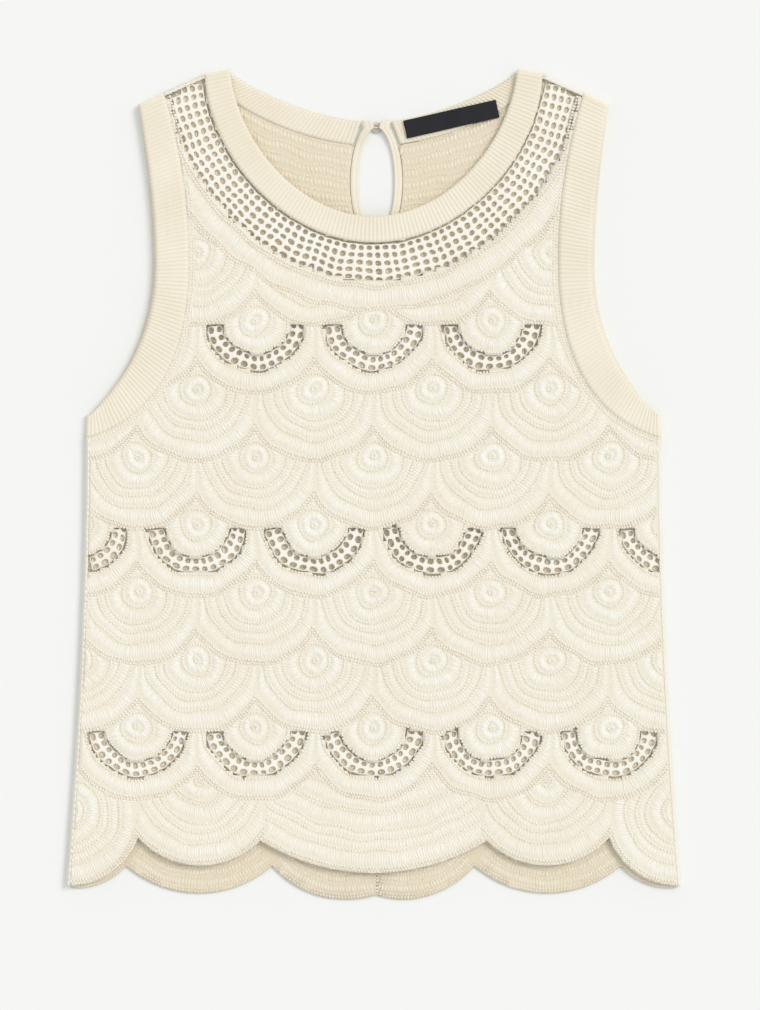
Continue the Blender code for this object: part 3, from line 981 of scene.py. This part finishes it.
    def work_fan(self, number: int, net: Net) -> None:
        """Fills one fan with rounds from its edge inwards, each named by how far in from the edge it lies."""
        fan = self.fans[number]
        edge = fan.radius
        for inset in self.edge_knots:
            self.knot_ring(number, edge - inset, 0.5)
        self.bar_ring(number, edge - self.wide_bars[0], edge - self.wide_bars[1])
        self.knot_ring(number, edge - self.wide_knots)
        if fan.core is FanCore.OPEN:
            self.net_ring(net, fan, edge - self.open_round[0], edge - self.open_round[1], 2, self.net_cell)
        else:
            first, second = self.short_bars
            self.bar_ring(number, edge - first[0], edge - first[1], self.short_step)
            self.knot_ring(number, edge - self.short_knots)
            self.bar_ring(number, edge - second[0], edge - second[1], self.short_step)
        self.knot_ring(number, edge - self.inner_knots)
        inner = edge - self.inner_start
        while inner > 22 * MM:
            self.bar_ring(number, inner, inner - 9.4 * MM)
            self.knot_ring(number, inner - 10.6 * MM)
            self.knot_ring(number, inner - 12.6 * MM)
            inner -= 14.0 * MM
        if inner > 12 * MM:
            self.bar_ring(number, inner, inner - 8.4 * MM)
            inner -= 9.6 * MM
            self.knot_ring(number, inner)
            inner -= 1.3 * MM
        if inner > 4 * MM:
            self.bar_ring(number, inner, 3.0 * MM, 1.5 * MM)
        self.knot_ring(number, 1.5 * MM)

    def net_ring(self, net: Net, fan: Fan, outer: float, inner: float, rings: int, step: float) -> None:
        """One ring of open net in a fan."""
        count = max(5, round(math.tau * (outer + inner) / 2 / step))
        angles = np.linspace(0, math.tau, count + 1)
        radii = np.linspace(inner, outer, rings + 1)
        way = np.stack([np.cos(angles), np.sin(angles)], axis=1)
        net.patch(fan.centre + radii[None, :, None] * way[:, None])
        self.open_rings.append((fan, outer, inner))

    def in_open_ring(self, points: Points, margin: float = 0.6 * MM) -> Points:
        """Whether points lie in some fan's open ring, where that fan shows."""
        found = np.zeros(len(points), bool)
        owners = self.owner(points)
        for fan, outer, inner in self.open_rings:
            away = np.hypot(*(points - fan.centre).T)
            mine = owners == self.fans.index(fan)
            found |= mine & (away < outer + margin) & (away > inner - margin)
        return found & self.body(points)

    def along_neck(self, outer: float, inner: float, step: float) -> tuple[Points, Points]:
        """Spans across a band that follows the neck seam."""
        line = spaced(self.neck_line, 1 * MM)
        far, near = beside(line, outer), beside(line, inner)
        ends = spaced(np.hstack([far, near]), step * math.sqrt(2))
        return fit_span(ends[:, :2], ends[:, 2:], self.region.inside(self.edge_gap))

    def work_yoke(self, net: Net) -> None:
        """The net next to the neck seam, then a tape with solid edges."""
        first, last, rows = self.yoke_net
        line = spaced(self.neck_line, 1 * MM)
        offsets = np.linspace(first, last, rows + 1)
        runs = np.hstack([beside(line, d) for d in offsets])
        spots = spaced(runs, self.net_cell * math.sqrt(rows + 1)).reshape(-1, rows + 1, 2)
        net.patch(spots)
        for offset in (28.4, 30.5, 43.9, 45.8):
            start, end = self.along_neck((offset + 0.9) * MM, (offset - 0.9) * MM, self.knot_step)
            self.slanted_knots(start, end, 0.45 * MM)
        start, end = self.along_neck(self.yoke_tape[1], self.yoke_tape[0], self.bar_step)
        self.bars.add(start, end, self.cut.front_z(*((start + end) / 2).T), self.bar_width, self.bar_height)

    def work_armholes(self) -> None:
        """Two rows of knots beside each armhole seam."""
        for side in Side:
            line = mirrored(self.cut.arm_seam_run(), side)
            for offset in (1.5, 3.6):
                run = spaced(beside(line, -side.value * offset * MM), self.knot_step)
                way = headings(run) * 0.9 * MM
                across = np.stack([-way[:, 1], way[:, 0]], axis=1)
                inside = self.region.inside(0.2 * MM)
                start, end = fit_span(run - across - way / 3, run + across + way / 3, inside)
                z = self.cut.front_z(*((start + end) / 2).T) + 0.3 * MM
                self.knots.add(start, end, z, self.knot_width, self.knot_height)

    def build(self, yarn: bpy.types.Material) -> list[bpy.types.Object]:
        """Makes the front's ground, nets and stitches."""
        self.open_rings: list[tuple[Fan, float, float]] = []
        fan_net, yoke_net = Net(), Net()
        self.work_yoke(yoke_net)
        self.work_armholes()
        for number in range(len(self.fans)):
            self.work_fan(number, fan_net)
        inside = self.region.inside(2 * self.edge_gap)
        pieces = [
            yoke_net.build("yoke_net", self.net_height, inside, self.slack, 3),
            fan_net.build("fan_nets", self.net_height, self.in_open_ring, self.slack, 4),
        ]
        for kind, stitches in (("bars", self.bars), ("knots", self.knots)):
            rows = np.vstack(stitches.rows)
            for side in Side:
                keep = rows[:, 0] * side.value > 0
                pieces.append(stitches.build(f"front_{kind}_{side.name.lower()}", 11, self.slack, keep))
        ground = ground_sheet(
            "front_ground", self.region, 3 * MM, self.cut.front_z, [self.yoke_region()], 0.9 * MM
        )
        self.open_ground(ground)
        finish_piece(ground, yarn)
        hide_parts("front_panel")
        for piece in pieces:
            finish_piece(piece, yarn)
        return [ground, *pieces]

    def yoke_region(self) -> Region:
        """The area of the yoke's net."""
        first, last, _ = self.yoke_net
        line = spaced(self.neck_line, 4 * MM)
        return Region(np.vstack([beside(line, first - 2 * MM), beside(line, last)[::-1]]))

    def open_ground(self, ground: bpy.types.Object) -> None:
        """Cuts the fans' open rings out of the ground."""
        builder = bmesh.new()
        builder.from_mesh(ground.data)
        centres = np.array([f.calc_center_median()[:2] for f in builder.faces])
        inner = self.in_open_ring(centres - self.slack(centres), 0.4 * MM)
        faces = [f for f, gone in zip(builder.faces[:], inner) if gone]
        bmesh.ops.delete(builder, geom=faces, context="FACES")
        builder.to_mesh(ground.data)
        builder.free()


# ---------------------------------------------------------------- the back's lace


@dataclass
class RowLace:
    """One half of the back: plain curved rows with eyelets, and rounds that follow the hem."""

    cut: Cut
    side: Side
    row: float = 8.0 * MM
    pitch: float = 2.7 * MM

    def __post_init__(self) -> None:
        """Works out the panel's region."""
        self.region = self.cut.back(self.side)
        self.bars = Stitches(BAR)
        self.knots = Stitches(KNOT)

    def allowed(self, points: Points) -> Points:
        """Whether points may hold row stitches."""
        hem = mirrored(joined(*[arc(*row, 12) for row in self.cut.back_hem]), self.side)
        return (self.region.depth(points) > 0.6 * MM) & (line_distance(points, hem) > 16 * MM)

    def slack(self, points: Points) -> Points:
        """How far the lace has shifted, less and less towards its edges."""
        return drift(points) * (self.region.depth(points) / (14 * MM)).clip(0, 1)[:, None]

    def work_rows(self) -> None:
        """Rows that copy the back neck's curve and flatten out towards the hem."""
        neck = mirrored(cubic(self.cut.back_neck_seam, 40), self.side)
        count = round(0.50 / self.row)
        for number in range(count):
            away = number * self.row
            flatten = math.exp(-away / (90 * MM))
            out = np.linspace(0.0, 0.215, 60)
            curve = np.interp(out, np.abs(neck[::-1, 0]), neck[::-1, 1], right=neck[0, 1]) - 0.230
            run = np.stack([out * self.side.value, 0.230 - away + curve * flatten], axis=1)
            for top, low, kind in ((0.4, 2.4, self.knots), (2.6, 7.6, self.bars)):
                step = self.pitch if kind is self.bars else 2.2 * MM
                spots = spaced(run, step)
                down = np.array([0.0, -1.0])
                start, end = fit_span(spots + down * top * MM, spots + down * low * MM, self.allowed)
                if len(start):
                    z = self.cut.flat_back_z(start[:, 0], start[:, 1])
                    width = 1.15 * MM if kind is self.bars else 1.1 * MM
                    kind.add(start, end, z, width, 1.08 * MM)

    def work_hem(self) -> None:
        """Rounds that follow each scallop of the hem."""
        inside = self.region.inside(0.1 * MM)
        for row in self.cut.back_hem:
            curve = mirrored(arc(*row, 30), self.side)
            for near, far, kind in (
                (0.3, 2.3, self.knots),
                (2.3, 4.3, self.knots),
                (4.4, 9.4, self.bars),
                (9.6, 11.6, self.knots),
                (11.6, 16.4, self.bars),
            ):
                a = beside(curve, -self.side.value * near * MM)
                b = beside(curve, -self.side.value * far * MM)
                ends = spaced(np.hstack([a, b]), 2.1 * MM * math.sqrt(2))
                start, end = fit_span(ends[:, :2], ends[:, 2:], inside)
                if len(start):
                    kind.add(start, end, self.cut.flat_back_z(start[:, 0], start[:, 1]), 1.05 * MM, 1.08 * MM)

    def build(self, yarn: bpy.types.Material) -> list[bpy.types.Object]:
        """Makes this half's ground and stitches."""
        name = self.side.name.lower()
        self.work_rows()
        self.work_hem()
        pieces = [
            self.bars.build(f"back_bars_{name}", 21, self.slack),
            self.knots.build(f"back_knots_{name}", 22, self.slack),
        ]
        if self.side is Side.RIGHT:
            seam = Stitches(KNOT)
            spots = np.arange(-0.2785, self.cut.keyhole_y - self.cut.keyhole_half[1] - 6 * MM, 2.2 * MM)
            left = np.stack([np.full(len(spots), self.cut.centre_back - 1.5 * MM), spots], axis=1)
            right = left + (3.0 * MM, 0.6 * MM)
            seam.add(left, right, np.full(len(spots), self.cut.back_mid), 0.95 * MM, 1.1 * MM)
            pieces.append(seam.build("centre_back_seam", 23, self.slack))
        ground = ground_sheet(f"back_ground_{name}", self.region, 9 * MM, self.cut.flat_back_z, [], 0.8 * MM)
        finish_piece(ground, yarn)
        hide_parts(f"back_panel_{name}")
        for piece in pieces:
            finish_piece(piece, yarn)
        return [ground, *pieces]


# ---------------------------------------------------------------- rib bands and turned edges


@dataclass
class RibStrip:
    """A band of rib knit between a free edge and a seam, with ridges square to them."""

    pitch: float = 2.7 * MM
    relief: float = 0.32 * MM
    wall: float = 1.5 * MM
    across: int = 8

    def build(
        self, name: str, rows: list[Points], closed: bool = False
    ) -> tuple[bpy.types.Object, tuple[float, float]]:
        """Makes the band.

        Args:
            name: the piece's name.
            rows: its stations as pairs of 3-D ends, a quarter of a rib apart.
            closed: whether its last station is its first.

        Returns:
            The new object, and its width and length laid flat.
        """
        builder = bmesh.new()
        bmesh.ops.create_grid(builder, x_segments=len(rows) - 1, y_segments=self.across, size=1.0)
        wave = (0.0, 1.0, 0.0, -1.0)
        rise = builder.verts.layers.float.new("rise")
        lifts = {}
        for vert in builder.verts:
            index = round((vert.co.x + 1) / 2 * (len(rows) - 1))
            share = (vert.co.y + 1) / 2
            vert.co = rows[index][0] * (1 - share) + rows[index][1] * share
            edge = 0.45 + 0.55 * min(1.0, 6 * share, 8 * (1 - share))
            lifts[vert] = wave[index % 4] * edge
            # Painted shade: the ribs' grooves take more of the darker crease colour, and their ridges less.
            vert[rise] = 0.5 + 0.4 * lifts[vert]
        if closed:
            bmesh.ops.remove_doubles(builder, verts=builder.verts, dist=1e-5)
        bmesh.ops.recalc_face_normals(builder, faces=builder.faces)
        builder.normal_update()
        for vert in builder.verts:
            if vert in lifts:
                vert.co += vert.normal * lifts[vert] * self.relief
        obj = walled(from_builder(name, builder), self.wall)
        return obj, band_size(rows)


@dataclass
class Bands:
    """The rib bands of neck, armholes and keyhole, and the turned edges at sides and shoulders."""

    cut: Cut
    keyhole_heads: tuple = (((0.0042, 0.2468), (0.0026, 0.2449)), ((0.0100, 0.2474), (0.0092, 0.2440)))
    keyhole_top: float = 0.2435

    def stations(self, edge: Points, seam: Points, height: Height) -> list[Points]:
        """Pairs of 3-D ends a quarter of a rib apart, from a free edge and a seam of equal count."""
        both = spaced(np.hstack([edge, seam]), RibStrip.pitch / 4 * math.sqrt(2))
        z_edge, z_seam = height(both[:, 0], both[:, 1]), height(both[:, 2], both[:, 3])
        return [np.array([[*r[:2], a], [*r[2:], b]]) for r, a, b in zip(both, z_edge, z_seam)]

    def turn(self, pair: Points, out: Points, z_from: float, angles: tuple, over: int) -> list[Points]:
        """Stations of an end that turns over the garment's edge, towards over times +Z."""
        rows = []
        for angle in angles:
            shift = np.array([*(out * math.sin(angle)), over * (1 - math.cos(angle))]) * self.cut.turn
            spot = pair + shift
            spot[:, 2] = z_from + shift[2]
            rows.append(spot)
        return rows

    def out(self, side: Side) -> Points:
        """The way out of the garment at a shoulder."""
        return np.array(self.cut.shoulder_out) * (side.value, 1.0)

    def neck_front(self) -> tuple[bpy.types.Object, tuple[float, float]]:
        """The rib round the front of the neck."""
        edge = drawn_in(cubic(self.cut.neck_edge, 60), self.cut.shoulder_out, None, self.cut.reach)
        seam = drawn_in(cubic(self.cut.neck_seam, 60), self.cut.shoulder_out, None, self.cut.reach)
        full_edge = joined(edge, mirrored(edge[::-1], Side.LEFT))
        full_seam = joined(seam, mirrored(seam[::-1], Side.LEFT))
        rows = self.stations(full_edge, full_seam, self.cut.front_z)
        angles = tuple(np.radians((15, 35, 55, 75, 90)))
        first = self.turn(rows[0], self.out(Side.RIGHT), self.cut.front_mid, angles, -1)
        last = self.turn(rows[-1], self.out(Side.LEFT), self.cut.front_mid, angles, -1)
        return RibStrip().build("rib_neck_front", first[::-1] + rows + last)

    def neck_back(self, side: Side) -> tuple[bpy.types.Object, tuple[float, float]]:
        """The rib of one half of the back neck."""
        edge = drawn_in(cubic(self.cut.back_neck_edge, 60), self.cut.shoulder_out, None, self.cut.reach)
        seam = drawn_in(cubic(self.cut.back_neck_seam, 60), self.cut.shoulder_out, None, self.cut.reach)
        start_edge = 0.0103 + side.value * self.cut.centre_back
        start_seam = 0.0150 + side.value * self.cut.centre_back
        edge = spaced(edge[edge[:, 0] > start_edge], 1.6 * MM)
        seam = seam[seam[:, 0] > start_seam]
        seam = spaced(seam, 1 * MM)
        at = np.linspace(0, len(seam) - 1, len(edge))
        seam = np.stack([np.interp(at, np.arange(len(seam)), seam[:, k]) for k in range(2)], axis=1)
        rows = self.stations(mirrored(edge, side), mirrored(seam, side), self.cut.back_z)
        angles = tuple(np.radians((15, 35, 55, 75, 90)))
        turned = self.turn(rows[0], self.out(side), self.cut.back_mid, angles, 1)
        return RibStrip(relief=0.4 * MM).build(f"rib_neck_back_{side.name.lower()}", turned[::-1] + rows)

    def armhole(self, side: Side) -> tuple[bpy.types.Object, tuple[float, float]]:
        """The rib ring round one armhole."""
        out_arm = (1.0, 0.0)
        runs = []
        for peek in (0.0, 1.8 * MM):
            edge, seam = self.cut.arm_edge_run(), self.cut.arm_seam_run()
            swing = np.sin(np.linspace(0.0, math.pi, len(edge)))[:, None]
            edge = edge + swing * peek * np.array([1.0, 0.0])
            for run in (edge, seam):
                run = drawn_in(run, self.cut.shoulder_out, out_arm, self.cut.reach)
                runs.append(mirrored(run, side))
        front = self.stations(runs[0], runs[1], self.cut.front_z)
        back = self.stations(runs[2], runs[3], self.cut.flat_back_z)[::-1]
        angles = tuple(np.radians((22, 45, 68, 90, 112, 135, 158)))
        under = self.turn(front[-1], np.array([side.value, 0.0]), self.cut.front_mid, angles, -1)
        over = self.turn(front[0], self.out(side), self.cut.front_mid, angles, -1)[::-1]
        rows = front + under + back + over
        rows += [front[0]] * 1
        return RibStrip().build(f"rib_armhole_{side.name.lower()}", rows, closed=True)

    def keyhole(self, side: Side) -> bpy.types.Object:
        """The smooth narrow edging of one side of the keyhole, with two long ribs."""
        inner = self.cut.keyhole_run(side, 0.3 * MM)
        outer = self.cut.keyhole_run(side, self.cut.trim)
        rails = []
        for run, top in zip((inner, outer), self.keyhole_heads):
            head = np.array(top) * (side.value, 1.0) + (self.cut.centre_back, 0.0)
            rails.append(np.vstack([head, run[run[:, 1] < self.keyhole_top]]))
        count = 90
        inner, outer = (
            np.stack(
                [np.interp(np.linspace(0, len(r) - 1, count), np.arange(len(r)), r[:, k]) for k in (0, 1)],
                axis=1,
            )
            for r in rails
        )
        name = f"keyhole_edging_{side.name.lower()}"
        builder = bmesh.new()
        bmesh.ops.create_grid(builder, x_segments=count - 1, y_segments=8, size=1.0)
        rise = builder.verts.layers.float.new("rise")
        for vert in builder.verts:
            i = round((vert.co.x + 1) / 2 * (count - 1))
            j = round((vert.co.y + 1) / 2 * 8)
            x, y = inner[i] + (outer[i] - inner[i]) * j / 8
            wave = (0.2, 1.0, 0.2, -0.6)[j % 4]
            vert.co = (x, y, float(self.cut.back_z(x, y)) + 0.3 * MM * wave)
            # Painted shade: the low parts of the edging take more of the darker crease colour.
            vert[rise] = 0.55 + 0.4 * wave
        bmesh.ops.recalc_face_normals(builder, faces=builder.faces)
        obj = walled(from_builder(name, builder), 1.6 * MM)
        return obj

    def turned_edge(self, name: str, line: Points, out: Points) -> bpy.types.Object:
        """The rounded fold that joins front to back along a side or a shoulder."""
        line = spaced(line, 1.1 * MM)
        steps = 10
        builder = bmesh.new()
        bmesh.ops.create_grid(builder, x_segments=len(line) - 1, y_segments=steps, size=1.0)
        rise = builder.verts.layers.float.new("rise")
        middle = (self.cut.front_mid + self.cut.back_mid) / 2
        for vert in builder.verts:
            i = round((vert.co.x + 1) / 2 * (len(line) - 1))
            angle = (vert.co.y + 1) / 2 * math.pi
            knobble = 0.28 * MM * (1 if (i + 2 * round(angle * 3)) % 4 < 2 else -1)
            radius = self.cut.turn + knobble
            x, y = line[i] + out * radius * math.sin(angle)
            vert.co = (x, y, middle + radius * math.cos(angle))
            # Painted shade: the sunk parts of the fold take more of the darker crease colour.
            vert[rise] = 0.5 + 0.4 * np.sign(knobble)
        bmesh.ops.recalc_face_normals(builder, faces=builder.faces)
        obj = walled(from_builder(name, builder), 1.5 * MM)
        return obj

    def build(self, rib: bpy.types.Material, yarn: bpy.types.Material) -> None:
        """Makes and dresses every band and turned edge."""
        made, flat = self.neck_front()
        finish_piece(made, rib)
        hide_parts("front_neckband")
        for side in Side:
            name = side.name.lower()
            trim = finish_piece(self.keyhole(side), rib)
            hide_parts(f"keyhole_trim_{name}")
            made, flat = self.neck_back(side)
            finish_piece(made, rib)
            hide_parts(f"back_neckband_{name}")
            made, flat = self.armhole(side)
            finish_piece(made, rib)
            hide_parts(f"armhole_band_{name}")
            line = mirrored(self.cut.side_run(self.cut.reach), side)
            out = np.array([side.value, 0.0])
            finish_piece(self.turned_edge(f"side_edge_{name}", line, out), yarn)
            ends = np.array([self.cut.neck_seam[0], self.cut.arm_seam[0][0]])
            ends = ends - np.array(self.cut.shoulder_out) * self.cut.reach
            shoulder = self.turned_edge(f"shoulder_edge_{name}", mirrored(ends, side), self.out(side))
            finish_piece(shoulder, yarn)


# ---------------------------------------------------------------- label and closure


@dataclass
class Label:
    """The woven neck label, bare: a thin, slightly wavy strip with a bevelled rim."""

    turn = math.radians(12.8)
    x: float = 0.0529
    y: float = 0.2482
    length: float = 0.0645
    height: float = 0.0124
    thickness: float = 0.45 * MM

    def build(self, damask: bpy.types.Material) -> None:
        """Makes the label just over the back neckband."""
        low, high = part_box("label")
        builder = bmesh.new()
        bmesh.ops.create_grid(builder, x_segments=44, y_segments=8, size=0.5)
        for vert in builder.verts:
            u, v = vert.co.x, vert.co.y
            wave = 0.25 * MM * math.sin(9 * u + 1.1) + 0.1 * MM * math.sin(23 * u)
            vert.co = (u * self.length, v * self.height, (low.z + high.z) / 2 + 0.35 * MM + wave)
        bmesh.ops.rotate(builder, verts=builder.verts, matrix=Matrix.Rotation(self.turn, 3, "Z"))
        bmesh.ops.translate(builder, verts=builder.verts, vec=(self.x, self.y, 0.0))
        bmesh.ops.recalc_face_normals(builder, faces=builder.faces)
        obj = walled(from_builder("neck_label", builder), self.thickness)
        rim = obj.modifiers.new("rim", "BEVEL")
        rim.width = 0.12 * MM
        rim.segments = 2
        finish_piece(obj, damask)
        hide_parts("label")


# ---------------------------------------------------------------- studio


@dataclass
class Studio:
    """A pale floor, a broad soft key from the upper right, a weak fill, and a camera straight above."""

    floor: str = "#f7f8f8"
    view_height: float = 0.6868
    middle: tuple = (0.0044, -0.0139)
    distance: float = 2.6
    key_power: float = 1.15
    key_spread: float = 28.0
    key_from: tuple = (1.15, 0.75, 1.5)
    world_strength: float = 0.745

    def build(self) -> None:
        """Makes the floor, lights, world and camera."""
        self.make_floor()
        self.make_lights()
        self.make_camera()

    def make_floor(self) -> None:
        """A wide matt sheet under the top."""
        builder = bmesh.new()
        bmesh.ops.create_grid(builder, x_segments=1, y_segments=1, size=8.0)
        mesh = bpy.data.meshes.new("floor")
        builder.to_mesh(mesh)
        builder.free()
        material = bpy.data.materials.new("white board")
        material.use_nodes = True
        shader = material.node_tree.nodes["Principled BSDF"]
        shader.inputs["Base Color"].default_value = linear(self.floor)
        shader.inputs["Roughness"].default_value = 0.9
        shader.inputs["Specular IOR Level"].default_value = 0.1
        mesh.materials.append(material)
        floor = linked("floor", mesh)
        floor.location.z = -0.2 * MM

    def make_lights(self) -> None:
        """The key, as broad as a bank of softboxes, and the even light of a white room."""
        data = bpy.data.lights.new("key", "SUN")
        data.energy = self.key_power
        data.angle = math.radians(self.key_spread)
        data.color = linear("#fffdf8")[:3]
        key = bpy.data.objects.new("key", data)
        key.location = self.key_from
        key.rotation_euler = (-key.location).to_track_quat("-Z", "Y").to_euler()
        bpy.context.scene.collection.objects.link(key)
        world = bpy.data.worlds.new("white room")
        world.use_nodes = True
        sky = world.node_tree.nodes["Background"]
        sky.inputs["Color"].default_value = linear("#fbfcfb")
        sky.inputs["Strength"].default_value = self.world_strength
        bpy.context.scene.world = world

    def make_camera(self) -> None:
        """A long lens straight above."""
        data = bpy.data.cameras.new("camera")
        data.sensor_width = 36.0
        data.lens = 36.0 * self.distance / self.view_height
        data.clip_end = 50.0
        camera = bpy.data.objects.new("camera", data)
        camera.location = (*self.middle, self.distance)
        bpy.context.scene.collection.objects.link(camera)
        bpy.context.scene.camera = camera
        bpy.context.scene.view_settings.view_transform = "Standard"


def main() -> None:
    """Builds the top's looks and its studio."""
    logging.basicConfig(level=logging.INFO, format="%(name)s %(message)s")
    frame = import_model()
    yarn = FRONT_YARN.material()
    # The back's yarn is a darkened copy: painted shade.
    shaded_back_yarn = SHADED_BACK_YARN.material()
    rib = RIB_YARN.material()
    cut = Cut()
    for side in Side:
        RowLace(cut, side).build(shaded_back_yarn)
    FanLace(cut).build(yarn)
    Bands(cut).build(rib, yarn)
    Label().build(DamaskFinish().material())
    for name, material in (("button", ShellFinish().material()), ("button_loop", rib)):
        node = frame["nodes"][name]
        node.data.materials.clear()
        node.data.materials.append(material)
    Studio().build()


if __name__ == "__main__":
    main()
